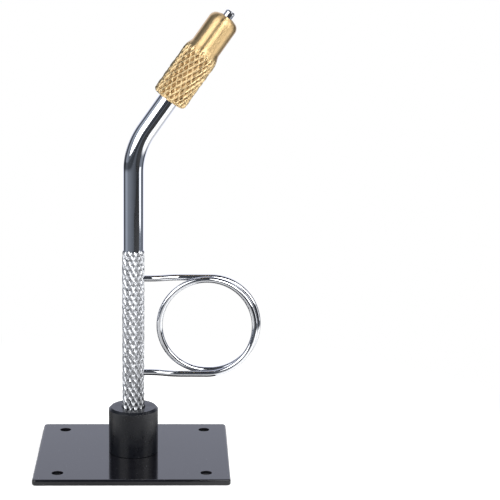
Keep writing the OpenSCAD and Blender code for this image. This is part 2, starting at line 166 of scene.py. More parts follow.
left_level = add(round_about, "ShaderNodeMapRange",
                 {0: rise, 1: 0.2, 2: 0.45, 3: LEFT_LEVEL, 4: HIGH_LEFT_LEVEL})[0]
far = add(round_about, "ShaderNodeMapRange",
          {0: sides["X"], 1: -1.0, 2: 0.5, 3: left_level, 4: RIGHT_LEVEL})[0]
left_edge = add(round_about, "ShaderNodeMapRange",
                {0: sides["X"], 1: -0.88, 2: -0.98, 3: 0.0, 4: LEFT_EDGE})[0]
far = add(round_about, "ShaderNodeMath", {0: far, 1: left_edge}, operation="ADD")[0]
low_white = add(round_about, "ShaderNodeMapRange",
                {0: rise, 1: -0.05, 2: 0.08, 3: RIGHT_WHITE, 4: 0.0})[0]
low_white = add(round_about, "ShaderNodeMapRange",
                {0: sides["X"], 1: 0.9, 2: 0.95, 3: 0.0, 4: low_white})[0]
far = add(round_about, "ShaderNodeMath", {0: far, 1: low_white}, operation="MAXIMUM")[0]
far = add(round_about, "ShaderNodeMath", {0: far, 1: past_sides(1.0)}, operation="MULTIPLY")[0]
far = add(round_about, "ShaderNodeVectorMath", {0: linear(ROOM_TINT)[:3], 3: far},
          operation="SCALE")[0]
behind = add(round_about, "ShaderNodeMapRange", {0: sides["Y"], 1: 0.72, 2: 0.84},
             interpolation_type="SMOOTHSTEP")[0]
wall_white = (*[c * WALL_LEVEL for c in linear(WALL_WHITE)[:3]], 1)
far = add(round_about, "ShaderNodeMix", {0: behind, 6: far, 7: wall_white}, data_type="RGBA")[2]
near_dim = past_sides(RIGHT_NEAR_DIM)
near = add(round_about, "ShaderNodeMapRange",
           {0: sides["X"], 1: -0.2, 2: 0.85, 3: NEAR_FRONT, 4: NEAR_RIGHT})[0]
near = add(round_about, "ShaderNodeMath", {0: near, 1: near_dim}, operation="MULTIPLY")[0]
share = add(round_about, "ShaderNodeMapRange",
            {0: sides["Y"], 1: -0.9, 2: -0.5, 3: FRONT_SHARE, 4: 1.0})[0]
share = add(round_about, "ShaderNodeMath", {0: share, 1: near_dim}, operation="MULTIPLY")[0]
add(round_about, "NodeGroupOutput", {"Far": far, "Near": near, "Share": share})

# The room. The camera sees plain white and dull surfaces get an even fill. Metal reflects the
# light round about, dimmer overhead and on the camera's side.
FILL = 0.25
world = bpy.data.worlds.new("studio_room")
bpy.context.scene.world = world
world.use_nodes = True
room = world.node_tree
room.nodes.clear()
way = add(room, "ShaderNodeTexCoord")["Generated"]
toward = add(room, "ShaderNodeSeparateXYZ", {0: way})
ceiling = add(room, "ShaderNodeMapRange", {0: toward["Z"], 1: 0.9, 2: 0.75, 3: 0.1, 4: 1.0},
              interpolation_type="SMOOTHSTEP")[0]
front = add(room, "ShaderNodeMapRange",
            {0: toward["Y"], 1: -0.6, 2: 0.3, 3: 0.5, 4: 1.0})[0]
power = add(room, "ShaderNodeMath", {0: ceiling, 1: front}, operation="MULTIPLY")[0]
room_colour = add(room, "ShaderNodeGroup", {"Way": way}, node_tree=round_about)[0]
path = add(room, "ShaderNodeLightPath")
seen = add(room, "ShaderNodeMath", {0: path["Is Camera Ray"], 1: path["Is Transmission Ray"]},
           operation="MAXIMUM")[0]
reflected = add(room, "ShaderNodeBackground", {"Color": room_colour, "Strength": power})
filling = add(room, "ShaderNodeBackground", {"Color": linear("#FFFFFF"), "Strength": FILL})
white = add(room, "ShaderNodeBackground", {"Color": linear("#FFFFFF"), "Strength": 1})
unseen = add(room, "ShaderNodeMixShader",
             {0: path["Is Glossy Ray"], 1: filling[0], 2: reflected[0]})
whole = add(room, "ShaderNodeMixShader", {0: seen, 1: unseen[0], 2: white[0]})
add(room, "ShaderNodeOutputWorld", {"Surface": whole[0]})


def material(name):
    """An empty node material and its Principled shader."""
    made = bpy.data.materials.new(name)
    made.use_nodes = True
    made.node_tree.nodes.clear()
    shader = made.node_tree.nodes.new("ShaderNodeBsdfPrincipled")
    add(made.node_tree, "ShaderNodeOutputMaterial", {"Surface": shader.outputs[0]})
    return made, made.node_tree, shader


# The table is a white sheet. The camera sees the object's shadow on it, and plain white from
# PLAIN_FROM to PLAIN_TO away. In the metal it is white near the object only.
TABLE_SIZE = 6000
PLAIN_FROM, PLAIN_TO, SHEET_GLOW = 70, 190, 0.42
LIT_TO, DARK_FROM = 210, 300
TABLE_EDGE, EDGE_SHADE = (700, 950), 0.3


def flat_card(name, x, y, z, finish):
    """A flat studio card between two x and two y values."""
    mesh = bpy.data.meshes.new(name)
    mesh.from_pydata([Vector((*p, z)) * MM for p in
                      ((x[0], y[0]), (x[1], y[0]), (x[1], y[1]), (x[0], y[1]))],
                     [], [(0, 1, 2, 3)])
    mesh.materials.append(finish)
    card = bpy.data.objects.new(name, mesh)
    bpy.context.scene.collection.objects.link(card)
    return card


sheet, tree, shader = material("white_card")
place = add(tree, "ShaderNodeTexCoord")["Object"]
far = add(tree, "ShaderNodeVectorMath", {0: place}, operation="LENGTH")["Value"]
plain = add(tree, "ShaderNodeMapRange", {0: far, 1: PLAIN_FROM * MM, 2: PLAIN_TO * MM},
            interpolation_type="SMOOTHSTEP")[0]
lit = add(tree, "ShaderNodeMapRange",
          {0: far, 1: LIT_TO * MM, 2: DARK_FROM * MM, 3: 1.0, 4: 0.0},
          interpolation_type="SMOOTHSTEP")[0]
path = add(tree, "ShaderNodeLightPath")
seen = add(tree, "ShaderNodeMath", {0: path["Is Camera Ray"], 1: path["Is Transmission Ray"]},
           operation="MAXIMUM")[0]
grain = add(tree, "ShaderNodeTexNoise", {"Vector": place, "Scale": 900.0, "Detail": 3.0})
tint = add(tree, "ShaderNodeMix", {0: grain["Fac"], 6: linear("#EDEDED"),
                                   7: linear("#F3F3F3")}, data_type="RGBA")[2]
around = add(tree, "ShaderNodeGroup", {"Way": place}, node_tree=round_about)
shown = add(tree, "ShaderNodeMath", {0: lit, 1: around["Share"]}, operation="MULTIPLY")[0]
glossy_tint = add(tree, "ShaderNodeMix", {0: shown, 6: linear("#000000"), 7: tint},
                  data_type="RGBA")[2]
tint = add(tree, "ShaderNodeMix", {0: path["Is Glossy Ray"], 6: tint, 7: glossy_tint},
           data_type="RGBA")[2]
beyond = add(tree, "ShaderNodeMapRange", {0: far, 1: TABLE_EDGE[0] * MM, 2: TABLE_EDGE[1] * MM,
                                          3: 1.0, 4: EDGE_SHADE})[0]
gloss = add(tree, "ShaderNodeVectorMath", {0: around["Far"], 3: beyond}, operation="SCALE")
gloss = add(tree, "ShaderNodeMix", {0: lit, 6: gloss[0], 7: around["Near"]},
            data_type="RGBA")[2]
gloss = add(tree, "ShaderNodeMix", {0: path["Is Glossy Ray"], 6: linear("#000000"), 7: gloss},
            data_type="RGBA")[2]
glow = add(tree, "ShaderNodeMix", {0: seen, 6: gloss, 7: (SHEET_GLOW,) * 3 + (1,)},
           data_type="RGBA")[2]
feed(tree, shader, {"Base Color": tint, "Emission Color": glow, "Emission Strength": 1,
                    "Roughness": 0.9, "Specular IOR Level": 0})
pure = add(tree, "ShaderNodeEmission", {"Color": linear("#FFFFFF"), "Strength": 1.0})
plain = add(tree, "ShaderNodeMath", {0: plain, 1: seen}, operation="MULTIPLY")[0]
whole = add(tree, "ShaderNodeMixShader", {0: plain, 1: shader.outputs[0], 2: pure[0]})
feed(tree, tree.nodes["Material Output"], {"Surface": whole[0]})
half = TABLE_SIZE / 2
flat_card("table_sheet", (-half, half), (-half, half), 0, sheet)

# A black card lies on the table at the front right. It gives the chromed arm its dark band.
CARD_X, CARD_Y, CARD_LIFT = (60, 500), (-500, -155), 1
black, tree, shader = material("black_card")
grain = add(tree, "ShaderNodeTexNoise", {"Scale": 900.0, "Detail": 3.0})["Fac"]
grain = add(tree, "ShaderNodeMix", {0: grain, 6: linear("#101113"), 7: linear("#17181A")},
            data_type="RGBA")[2]
feed(tree, shader, {"Base Color": grain, "Roughness": 0.9})
card = flat_card("black_card", CARD_X, CARD_Y, CARD_LIFT, black)
card.visible_camera = card.visible_diffuse = card.visible_shadow = False

# Base plate: a piece of steel sheet with rounded corners and edges, four plain holes and a
# countersunk hole from below. It is dipped in glossy black enamel.
PLATE_CORNER, PLATE_EDGE = 1.5, 0.8
HOLE_EDGE = 0.12
SCREW_R, SCREW_HEAD_R, SCREW_SINK = 2.05, 3.85, 0.1
CORNER_STEPS, HOLE_STEPS, EDGE_STEPS = 8, 48, 4
EDGE_GUARD_SHARE = 1.3
SHARP_ANGLE = 32

low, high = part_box("base_plate")
plate_w, plate_d, plate_t = [(high - low)[i] / MM for i in range(3)]
holes = next(m for m in frame["record"]["mounts"] if m["name"] == "corner_holes")["dims"]


def edge(edge_r):
    """Pairs of (inset, height) from the lower face to the upper, round at both edges.
    A pair just inside each face keeps the rounding's shading off it."""
    quarter = [math.pi / 2 * k / EDGE_STEPS for k in range(EDGE_STEPS + 1)]
    lower = [(edge_r * EDGE_GUARD_SHARE, 0)]
    lower += [(edge_r * (1 - math.sin(a)), edge_r * (1 - math.cos(a))) for a in quarter]
    return lower + [(inset, plate_t - z) for inset, z in reversed(lower)]


def circle(x, y, r, steps):
    """Points round a circle."""
    turns = [math.tau * k / steps for k in range(steps)]
    return [(x + r * math.cos(a), y + r * math.sin(a)) for a in turns]


def plate_outline(inset):
    """The plate's outline, that far inside its edge."""
    r = PLATE_CORNER - inset
    points = []
    for k in range(4):
        x = (plate_w / 2 - PLATE_CORNER) * (1, -1, -1, 1)[k]
        y = (plate_d / 2 - PLATE_CORNER) * (1, 1, -1, -1)[k]
        turns = [math.pi / 2 * (k + i / CORNER_STEPS) for i in range(CORNER_STEPS + 1)]
        points += [(x + r * math.cos(a), y + r * math.sin(a)) for a in turns]
    return points


def wall(bm, rings):
    """Faces between neighbouring rings of points, and the edges of the first and last."""
    made = [[bm.verts.new(Vector(p) * MM) for p in ring] for ring in rings]
    for lower, upper in zip(made, made[1:]):
        for i in range(len(lower)):
            j = (i + 1) % len(lower)
            bm.faces.new((lower[i], lower[j], upper[j], upper[i]))
    return [[bm.edges.get((ring[i - 1], ring[i])) for i in range(len(ring))]
            for ring in (made[0], made[-1])]


def finish_mesh(bm, name, sharp=SHARP_ANGLE):
    """A mesh with its faces outwards, smooth but for its ends of many corners and for edges
    sharper than that angle."""
    bmesh.ops.recalc_face_normals(bm, faces=bm.faces)
    for face in bm.faces:
        face.smooth = len(face.verts) < 5
    made = bpy.data.meshes.new(name)
    bm.to_mesh(made)
    bm.free()
    made.set_sharp_from_angle(angle=math.radians(sharp))
    return made


def coat(mesh, finish):
    """Gives a mesh that one material."""
    mesh.materials.clear()
    mesh.materials.append(finish)


def piece(name, mesh, finish):
    """An object of that mesh and material, at the origin."""
    made = bpy.data.objects.new(name, mesh)
    bpy.context.scene.collection.objects.link(made)
    coat(mesh, finish)
    return made


bm = bmesh.new()
side = edge(PLATE_EDGE)
ends = [wall(bm, [[(x, y, z) for x, y in plate_outline(inset)] for inset, z in side])]
for sx in (-1, 1):
    for sy in (-1, 1):
        x, y = sx * holes["spacing_x_mm"] / 2, sy * holes["spacing_y_mm"] / 2
        rings = [
            [(*p, z) for p in circle(x, y, holes["hole_r_mm"] + inset, HOLE_STEPS)]
            for inset, z in edge(HOLE_EDGE)
        ]
        ends.append(wall(bm, rings))
sink = [(SCREW_HEAD_R, 0), (SCREW_HEAD_R, SCREW_SINK),
        (SCREW_R, SCREW_SINK + SCREW_HEAD_R - SCREW_R), (SCREW_R, plate_t)]
ends.append(wall(bm, [[(*p, z) for p in circle(0, 0, r, HOLE_STEPS)] for r, z in sink]))
for k in range(2):
    loops = [e for pair in ends for e in pair[k]]
    bmesh.ops.triangle_fill(bm, edges=loops, use_beauty=True)
plate_mesh = finish_mesh(bm, "base_plate_enamelled")

# Gloss black enamel over steel: a deep black under a hard clear shine. The faint ripple of
# the dip bends reflections, and dust, drawn coarser than it is, and fine rubs lie on the flat
# top. The scale of a pattern is 1000 over its size in millimetres.
ENAMEL_RIPPLE, ENAMEL_DUST, ENAMEL_RUB = 2.5, 0.5, 0.35
DUST_APART, RUB_STRETCH = 4, 9
enamel, tree, shader = material("gloss_black_enamel")
place = add(tree, "ShaderNodeTexCoord")["Object"]
ripple = add(tree, "ShaderNodeTexNoise",
             {"Vector": place, "Scale": 1000 / ENAMEL_RIPPLE, "Detail": 2.0})["Fac"]
dust = add(tree, "ShaderNodeTexVoronoi",
           {"Vector": place, "Scale": 1000 / ENAMEL_DUST / DUST_APART})
speck = add(tree, "ShaderNodeMapRange", {0: dust["Distance"], 1: 0.10, 2: 0.04,
                                         3: 0, 4: 1})[0]
chance = add(tree, "ShaderNodeSeparateColor", {0: dust["Color"]})["Red"]
chance = add(tree, "ShaderNodeMath", {0: chance, 1: 0.8}, operation="GREATER_THAN")[0]
speck = add(tree, "ShaderNodeMath", {0: speck, 1: chance}, operation="MULTIPLY")[0]
stretched = add(tree, "ShaderNodeMapping",
                {"Vector": place, "Scale": (1, RUB_STRETCH, RUB_STRETCH)})[0]
rub = add(tree, "ShaderNodeTexNoise", {
    "Vector": stretched, "Scale": 1000 / ENAMEL_RUB / RUB_STRETCH, "Detail": 4.0,
})["Fac"]
colour = add(tree, "ShaderNodeMix", {0: ripple, 6: linear("#0B0B0E"), 7: linear("#15151A")},
             data_type="RGBA")[2]
colour = add(tree, "ShaderNodeMix", {0: speck, 6: colour, 7: linear("#5A5C60")},
             data_type="RGBA")[2]
rough = add(tree, "ShaderNodeMapRange", {0: rub, 1: 0.35, 2: 0.75, 3: 0.06, 4: 0.13})[0]
rough = add(tree, "ShaderNodeMath", {0: speck, 1: 0.5, 2: rough}, operation="MULTIPLY_ADD")
bump = add(tree, "ShaderNodeBump", {"Strength": 0.25, "Distance": 0.02 * MM, "Height": ripple})
bump = add(tree, "ShaderNodeBump", {"Strength": 0.3, "Distance": 0.05 * MM, "Height": speck,
                                    "Normal": bump[0]})
feed(tree, shader, {"Base Color": colour, "Roughness": rough[0], "Normal": bump[0],
                    "IOR": 1.52})

plate = piece("base_plate_enamelled", plate_mesh, enamel)
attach(plate, "base")
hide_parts("base_plate")

# Base screw: a countersunk socket screw of blackened steel, driven up into the post socket.
# Only its head shows, from below. The blacking gives it a dull, slightly mottled sheen.
SCREW_GRAIN = 0.4
screw_black, tree, shader = material("blackened_screw_steel")
place = add(tree, "ShaderNodeTexCoord")["Object"]
blotch = add(tree, "ShaderNodeTexNoise", {"Vector": place, "Scale": 1000 / SCREW_GRAIN,
                                          "Detail": 5.0})["Fac"]
colour = add(tree, "ShaderNodeMix", {0: blotch, 6: linear("#1C1C1E"), 7: linear("#3A3A3D")},
             data_type="RGBA")[2]
rough = add(tree, "ShaderNodeMapRange", {0: blotch, 3: 0.3, 4: 0.55})[0]
bump = add(tree, "ShaderNodeBump", {"Strength": 0.2, "Distance": 0.02 * MM, "Height": blotch})
feed(tree, shader, {"Base Color": colour, "Roughness": rough, "Normal": bump[0],
                    "Metallic": 1})
coat(frame["nodes"]["base_screw"].data, screw_black)

# Post socket: a steel round turned with a bevelled rim and a blind bore, then given a satin
# black enamel. The screw from below holds it, and the stem stands loose in it.
RIM_BEVEL, RIM_SOFT, MOUTH_BEVEL = 0.9, 0.18, 0.4
BORE_R, BORE_DEPTH, SCREW_HOLE_DEPTH = 4.6, 12.8, 5.3
FOOT_SOFT, MOUTH_SOFT = 0.15, 0.1
SOCKET_SIDES, FILLET_STEPS = 128, 4
MERGE_WITHIN = 0.002


def turned_profile(corners):
    """A profile of (radius, height, fillet) corners, with each fillet as an arc.
    Points just beyond a fillet keep its shading off the long faces beside it."""
    points = []
    for i, (r, z, fillet) in enumerate(corners):
        here = Vector((r, z))
        if not fillet:
            points.append((r, z))
            continue
        back = (Vector(corners[i - 1][:2]) - here).normalized()
        on = (Vector(corners[i + 1][:2]) - here).normalized()
        half_angle = back.angle(on) / 2
        middle = here + (back + on).normalized() * (fillet / math.sin(half_angle))
        start = here + back * (fillet / math.tan(half_angle))
        end = here + on * (fillet / math.tan(half_angle))
        points.append(tuple(start + back * fillet / 4))
        for k in range(FILLET_STEPS + 1):
            spoke = (start - middle).slerp(end - middle, k / FILLET_STEPS)
            points.append(tuple(middle + spoke.normalized() * fillet))
        points.append(tuple(end + on * fillet / 4))
    return points


def lathe(bm, profile, sides):
    """Turns a profile of (radius, height) points round Z. A radius of 0 makes a pole."""
    wall(bm, [[(*p, z) for p in circle(0, 0, r, sides)] for r, z in profile])
    bmesh.ops.remove_doubles(bm, verts=bm.verts, dist=MERGE_WITHIN * MM)


def keep_turned_place(mesh):
    """Stores each point's place before the piece is bent or tilted, for its material."""
    layer = mesh.attributes.new("turned_place", "FLOAT_VECTOR", "POINT")
    layer.data.foreach_set("vector", [c for v in mesh.vertices for c in v.co])


low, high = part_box("post_socket")
socket_r, foot_z, rim_z = high.x / MM, low.z / MM, high.z / MM
bm = bmesh.new()
lathe(bm, turned_profile([
    (0, foot_z + SCREW_HOLE_DEPTH, 0),
    (SCREW_R, foot_z + SCREW_HOLE_DEPTH, 0),
    (SCREW_R, foot_z, 0),
    (socket_r, foot_z, FOOT_SOFT),
    (socket_r, rim_z - RIM_BEVEL, RIM_SOFT),
    (socket_r - RIM_BEVEL, rim_z, RIM_SOFT),
    (BORE_R + MOUTH_BEVEL, rim_z, MOUTH_SOFT),
    (BORE_R, rim_z - MOUTH_BEVEL, MOUTH_SOFT),
    (BORE_R, rim_z - BORE_DEPTH, 0),
    (0, rim_z - BORE_DEPTH, 0),
]), SOCKET_SIDES)
socket_mesh = finish_mesh(bm, "post_socket_enamelled")
keep_turned_place(socket_mesh)

# Satin black enamel on a turned part: a softer shine than the plate's, with dust in it. Faint
# rings of the lathe tool show through.
TOOL_RING = 0.3
enamel_turned, tree, shader = material("satin_black_enamel_on_turned_steel")
place = add(tree, "ShaderNodeAttribute", attribute_name="turned_place")["Vector"]
rings = add(tree, "ShaderNodeMapping", {"Vector": place, "Scale": (0.1, 0.1, 1)})[0]
rings = add(tree, "ShaderNodeTexNoise", {"Vector": rings, "Scale": 1000 / TOOL_RING,
                                         "Detail": 2.0})["Fac"]
ripple = add(tree, "ShaderNodeTexNoise",
             {"Vector": place, "Scale": 1000 / ENAMEL_RIPPLE, "Detail": 3.0})["Fac"]
dust = add(tree, "ShaderNodeTexNoise", {"Vector": place, "Scale": 1000 / ENAMEL_DUST,
                                        "Detail": 1.0})["Fac"]
speck = add(tree, "ShaderNodeMapRange", {0: dust, 1: 0.74, 2: 0.8, 3: 0, 4: 1})[0]
colour = add(tree, "ShaderNodeMix", {0: ripple, 6: linear("#08090D"), 7: linear("#12141B")},
             data_type="RGBA")[2]
colour = add(tree, "ShaderNodeMix", {0: speck, 6: colour, 7: linear("#505358")},
             data_type="RGBA")[2]
rough = add(tree, "ShaderNodeMapRange", {0: ripple, 1: 0.3, 2: 0.7, 3: 0.25, 4: 0.35})[0]
bump = add(tree, "ShaderNodeBump", {"Strength": 0.15, "Distance": 0.01 * MM, "Height": rings})
bump = add(tree, "ShaderNodeBump", {"Strength": 0.3, "Distance": 0.03 * MM, "Height": ripple,
                                    "Normal": bump[0]})
feed(tree, shader, {"Base Color": colour, "Roughness": rough, "Normal": bump[0],
                    "IOR": 1.46})

socket = piece("post_socket_enamelled", socket_mesh, enamel_turned)
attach(socket, "socket")
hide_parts("post_socket")

# Stem: one steel rod. It is turned and knurled straight, bored and coned at its upper end
# for the collet, bent by 35 degrees, then polished and chromed.
ROD_R, GRIP_R, GRIP_RUNOUT = 4.0, 4.5, 1.6
GRIP_PIT, GRIP_DROP, GRIP_RIDGE_SHARE, GRIP_UNEVEN = 0.6, 0.15, 0.08, 0.12
SLOPE_END_SHARE, UNEVEN_SIZE = 0.38, 2.0
STEM_FOOT, FOOT_BEVEL, KNURL_FOOT, GRIP_TOP = 8.7, 0.8, 18.45, 86.85
BEND_START, BEND_R = 118.15, 29.1
ARM_LEN, ROD_IN_SLEEVE, MOUTH_R, COLLET_BORE_R = 15.0, 30.0, 3.362, 2.18
COLLET_BORE_END, MOUTH_END, MOUTH_SLOPE = 11.425, 0.5, 15
STEM_SOFT, ROD_END_SOFT, PAST_GRIP, PAST_BEND = 0.1, 0.05, 0.5, 1.0
GRIP_STARTS, GRIP_CELLS, STEPS = 12, 17, 10
BEND_RINGS, SEAM_WITHIN, KNURL_SHARP = 24, 0.01, 50

sleeve_joint = next(j for j in frame["joints"] if j["name"] == "sleeve_turn")
head_axis = Vector(sleeve_joint["axis"])
head_tilt = math.atan2(head_axis.x, head_axis.z)


def knurling_tree():
    """Diamond knurling: a tube of small cells whose corners follow two crossed sets of
    ridges with pits between them. Starts is ridges round the tube, Cells is pits along it and
    Steps is cells to a pit. The pits run out over Runout, and a bevel and a cone cut them.
    Ridge Share and SLOPE_END_SHARE are shares of the way from one ridge to the next."""
    takes = dict.fromkeys(("Starts", "Cells", "Steps"), "Int")
    takes |= dict.fromkeys((
        "Length", "Crest Radius", "Pit Depth", "Ridge Share", "First Drop", "Second Drop",
        "Plain Radius", "Runout", "Bevel", "Cone Length", "Cone Drop", "First Height",
        "Unevenness", "Uneven Scale",
    ), "Float")
    takes["Material"] = "Material"
    tree = node_group("diamond_knurling", "GeometryNodeTree", {"Geometry": "Geometry"}, takes)
    given = add(tree, "NodeGroupInput")
    counts = add(tree, "ShaderNodeCombineXYZ", {0: given["Starts"], 1: given["Cells"]})[0]
    size = add(tree, "ShaderNodeVectorMath", {0: counts, 1: given["Steps"]},
               operation="MULTIPLY")[0]
    reach = add(tree, "ShaderNodeVectorMath", {0: size, 1: (1, 1, 1)}, operation="SUBTRACT")[0]
    vertices = add(tree, "ShaderNodeSeparateXYZ", {0: size})
    reach = add(tree, "ShaderNodeSeparateXYZ", {0: reach})
    cells = add(tree, "GeometryNodeMeshGrid", {
        "Size X": reach["X"], "Size Y": reach["Y"],
        "Vertices X": vertices["X"], "Vertices Y": vertices["Y"],
    })["Mesh"]
    tile = add(tree, "GeometryNodeMeshCircle", {"Vertices": 4, "Radius": math.sqrt(0.5)},
               fill_type="TRIANGLE_FAN")[0]
    tile = add(tree, "GeometryNodeTransform",
               {"Geometry": tile, "Rotation": (0, 0, math.pi / 4)})[0]
    tiles = add(tree, "GeometryNodeInstanceOnPoints", {"Points": cells, "Instance": tile})[0]
    sheet = add(tree, "GeometryNodeRealizeInstances", {"Geometry": tiles})[0]
    sheet = add(tree, "GeometryNodeMergeByDistance", {"Geometry": sheet, "Distance": 0.1})[0]

    # Each corner's share of the way round and along, then its place as turned, without pits.
    place = add(tree, "GeometryNodeInputPosition")[0]
    place = add(tree, "ShaderNodeVectorMath", {0: place, 1: size}, operation="DIVIDE")[0]
    place = add(tree, "ShaderNodeVectorMath", {0: place, 1: (0.5, 0.5, 0)}, operation="ADD")[0]
    share = add(tree, "ShaderNodeSeparateXYZ", {0: place})
    count = add(tree, "ShaderNodeVectorMath", {0: place, 1: counts}, operation="MULTIPLY")[0]
    count = add(tree, "ShaderNodeSeparateXYZ", {0: count})
    height = add(tree, "ShaderNodeMath", {0: share["Y"], 1: given["Length"]},
                 operation="MULTIPLY")[0]
    angle = add(tree, "ShaderNodeMath", {0: share["X"], 1: math.tau}, operation="MULTIPLY")[0]
    outward = add(tree, "ShaderNodeCombineXYZ", {
        0: add(tree, "ShaderNodeMath", {0: angle}, operation="COSINE")[0],
        1: add(tree, "ShaderNodeMath", {0: angle}, operation="SINE")[0],
    })[0]
    middle = add(tree, "ShaderNodeMath", {0: height, 1: given["First Height"]},
                 operation="ADD")[0]
    middle = add(tree, "ShaderNodeCombineXYZ", {2: middle})[0]
    crest = add(tree, "ShaderNodeVectorMath",
                {0: outward, 1: given["Crest Radius"], 2: middle}, operation="MULTIPLY_ADD")[0]
    noise = add(tree, "ShaderNodeTexNoise", {"Vector": crest, "Scale": given["Uneven Scale"],
                                             "Detail": 1.0})["Color"]
    noise = add(tree, "ShaderNodeSeparateXYZ", {0: noise})
    half_ridge = add(tree, "ShaderNodeMath", {0: given["Ridge Share"], 1: 0.5},
                     operation="MULTIPLY")[0]

    def below_crest(operation, drop, uneven):
        """How far one set of ridges, with the slopes beside them, lies below the crest."""
        away = add(tree, "ShaderNodeMath", {0: count["X"], 1: count["Y"]},
                   operation=operation)[0]
        away = add(tree, "ShaderNodeMath", {0: away, 1: 0.5}, operation="PINGPONG")[0]
        down = add(tree, "ShaderNodeMapRange", {0: away, 1: half_ridge, 2: SLOPE_END_SHARE,
                                                3: 0.0, 4: given["Pit Depth"]})[0]
        lower = add(tree, "ShaderNodeMapRange", {0: uneven, 1: 0.35, 2: 0.65, 3: 0.0,
                                                 4: given["Unevenness"]})[0]
        down = add(tree, "ShaderNodeMath", {0: down, 1: lower}, operation="ADD")[0]
        return add(tree, "ShaderNodeMath", {0: down, 1: drop}, operation="ADD")[0]

    cut = add(tree, "ShaderNodeMath", {
        0: below_crest("ADD", given["First Drop"], noise["X"]),
        1: below_crest("SUBTRACT", given["Second Drop"], noise["Y"]),
    }, operation="MINIMUM")[0]
    cut_radius = add(tree, "ShaderNodeMath", {0: given["Crest Radius"], 1: cut},
                     operation="SUBTRACT")[0]
    to_end = add(tree, "ShaderNodeMath", {0: given["Length"], 1: height},
                 operation="SUBTRACT")[0]
    nearer = add(tree, "ShaderNodeMath", {0: height, 1: to_end}, operation="MINIMUM")[0]
    fade = add(tree, "ShaderNodeMapRange",
               {0: nearer, 1: 0.0, 2: given["Runout"], 3: 0.0, 4: 1.0},
               interpolation_type="SMOOTHSTEP")[0]
    turned, knurled = [
        add(tree, "ShaderNodeMix", {0: fade, 2: given["Plain Radius"], 3: radius},
            data_type="FLOAT")[0]
        for radius in (given["Crest Radius"], cut_radius)
    ]
    for way, run, drop in ((height, "Bevel", "Bevel"), (to_end, "Cone Length", "Cone Drop")):
        least = add(tree, "ShaderNodeMath", {0: given["Crest Radius"], 1: given[drop]},
                    operation="SUBTRACT")[0]
        slope = add(tree, "ShaderNodeMapRange", {0: way, 1: 0.0, 2: given[run], 3: least,
                                                 4: given["Crest Radius"]})[0]
        turned = add(tree, "ShaderNodeMath", {0: turned, 1: slope}, operation="MINIMUM")[0]
    radius = add(tree, "ShaderNodeMath", {0: turned, 1: knurled}, operation="MINIMUM")[0]
    point = add(tree, "ShaderNodeVectorMath", {0: outward, 1: radius, 2: middle},
                operation="MULTIPLY_ADD")[0]
    depth = add(tree, "ShaderNodeMath", {0: turned, 1: radius}, operation="SUBTRACT")[0]
    depth = add(tree, "ShaderNodeMath", {0: depth, 1: given["Pit Depth"]},
                operation="DIVIDE")[0]
    kept = add(tree, "GeometryNodeStoreNamedAttribute",
               {"Geometry": sheet, "Name": "pit", "Value": depth},
               data_type="FLOAT", domain="POINT")[0]
    tube = add(tree, "GeometryNodeSetPosition", {"Geometry": kept, "Position": point})[0]
    tube = add(tree, "GeometryNodeRealizeInstances", {"Geometry": tube})[0]
    tube = add(tree, "GeometryNodeSetMaterial",
               {"Geometry": tube, "Material": given["Material"]})[0]
    add(tree, "NodeGroupOutput", {"Geometry": tube})
    return tree


def grown(name, tree, sizes, base=None):
    """The plain mesh that a Geometry Nodes tree makes with those input sizes."""
    holder = bpy.data.objects.new(name, base or bpy.data.meshes.new(name))
    bpy.context.scene.collection.objects.link(holder)
    maker = holder.modifiers.new(name, "NODES")
    maker.node_group = tree
    for socket in tree.interface.items_tree:
        if socket.in_out == "INPUT" and socket.name in sizes:
            maker[socket.identifier] = sizes[socket.name]
    holder.update_tag()
    shown = holder.evaluated_get(bpy.context.evaluated_depsgraph_get())
    made = bpy.data.meshes.new_from_object(shown)
    holder.modifiers.remove(maker)
    bpy.data.objects.remove(holder)
    return made


# Bright chrome over polished steel: it mirrors the room, with hair-fine polishing marks
# round the rod, drawn coarser than real ones, and small dull patches. In the knurling's pits
# it is duller, as cut, and painted darker grey as painted shade.
POLISH_MARK, MARK_STRETCH, CHROME_PATCH = 0.12, 12, 3.0


def chrome(name, colour, marks=(1, 1, MARK_STRETCH)):
    """Bright chrome with its own colour, marked across the stretched directions."""
    made, tree, shader = material(name)
    place = add(tree, "ShaderNodeAttribute", attribute_name="turned_place")["Vector"]
    pit = add(tree, "ShaderNodeAttribute", attribute_name="pit")["Fac"]
    patch = add(tree, "ShaderNodeTexNoise", {"Vector": place, "Scale": 1000 / CHROME_PATCH,
                                             "Detail": 4.0})["Fac"]
    fine = add(tree, "ShaderNodeMapping", {"Vector": place, "Scale": marks})[0]
    fine = add(tree, "ShaderNodeTexNoise", {
        "Vector": fine, "Scale": 1000 / POLISH_MARK / MARK_STRETCH, "Detail": 3.0,
    })["Fac"]
    # Painted shade: the knurling's pits are painted darker grey and made duller.
    pit_shade = add(tree, "ShaderNodeMapRange", {0: pit, 1: 0.1, 2: 0.8, 3: 0, 4: 0.55})[0]
    tone = add(tree, "ShaderNodeMix", {0: patch, 6: linear(colour[0]), 7: linear(colour[1])},
               data_type="RGBA")[2]
    tone = add(tree, "ShaderNodeMix", {0: pit_shade, 6: tone, 7: linear("#3C3D42")},
               data_type="RGBA")[2]
    rough = add(tree, "ShaderNodeMapRange", {0: patch, 1: 0.3, 2: 0.8, 3: 0.03, 4: 0.09})
    cut = add(tree, "ShaderNodeMapRange", {0: pit, 1: 0.0, 2: 0.3, 3: 0.0, 4: 0.22})[0]
    rough = add(tree, "ShaderNodeMath", {0: rough[0], 1: cut}, operation="ADD")[0]
    rough = add(tree, "ShaderNodeMath", {0: pit_shade, 1: 0.3, 2: rough},
                operation="MULTIPLY_ADD")[0]
    bump = add(tree, "ShaderNodeBump", {"Strength": 0.08, "Distance": 0.01 * MM,
                                        "Height": fine})[0]
    feed(tree, shader, {"Base Color": tone, "Roughness": rough, "Normal": bump,
                        "Metallic": 1})
    return made


